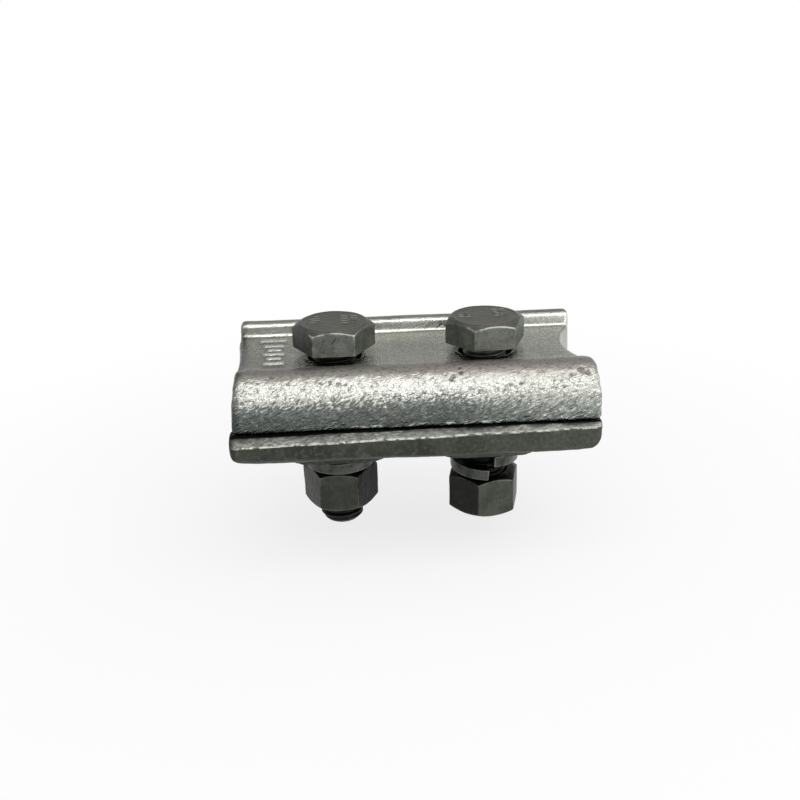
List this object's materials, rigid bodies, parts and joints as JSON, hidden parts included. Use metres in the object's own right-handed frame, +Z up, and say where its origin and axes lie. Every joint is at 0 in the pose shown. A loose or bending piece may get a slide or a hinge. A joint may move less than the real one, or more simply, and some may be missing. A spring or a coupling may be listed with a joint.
{
  "type": "parallel groove clamp",
  "caption": "Forged steel clamp whose plates grip parallel strands in round grooves, drawn together by hexagon bolts with spring washers.",
  "frame": {"origin": "midway between the bolts, on the plane of the bolts' ends, on which the clamp stands", "axes": "+X along the grooves towards the more hollowed end, +Y from the rounded front hump to the square back ridge, +Z up along the bolts to their heads"},
  "size_m": [0.094, 0.053, 0.0575],
  "materials": {
    "zinc_forging": "hot-dip galvanised forging, rough and speckled",
    "zinc_bolt": "dull grey hot-dip galvanised",
    "zinc_washer": "dull grey hot-dip galvanised",
    "zinc_nut": "dull dark grey hot-dip galvanised"
  },
  "bodies": {
    "body": {"body_plate": "zinc_forging", "bolt_left": "zinc_bolt", "bolt_right": "zinc_bolt"},
    "keeper": {"keeper_plate": "zinc_forging", "spring_washer_left": "zinc_washer", "spring_washer_right": "zinc_washer"},
    "nut_left": {"nut_left": "zinc_nut"},
    "nut_right": {"nut_right": "zinc_nut"}
  },
  "joints": [
    {"name": "keeper_slide", "type": "slide", "parent": "body", "child": "keeper", "axis": [0, 0, -1], "range_m": [0, 0.00875]},
    {"name": "nut_left_spin", "type": "hinge", "parent": "keeper", "child": "nut_left", "pos_m": [-0.02, 0, 0.0113], "axis": [0, 0, -1], "range_deg": [0, 1800]},
    {"name": "nut_right_spin", "type": "hinge", "parent": "keeper", "child": "nut_right", "pos_m": [0.02, 0, 0.0074], "axis": [0, 0, -1], "range_deg": [0, 1800]}
  ],
  "couplings": [
    {"joint": "nut_left_spin", "follows": "keeper_slide", "rad_per_m": 3590.4},
    {"joint": "nut_right_spin", "follows": "keeper_slide", "rad_per_m": 3590.4}
  ]
}
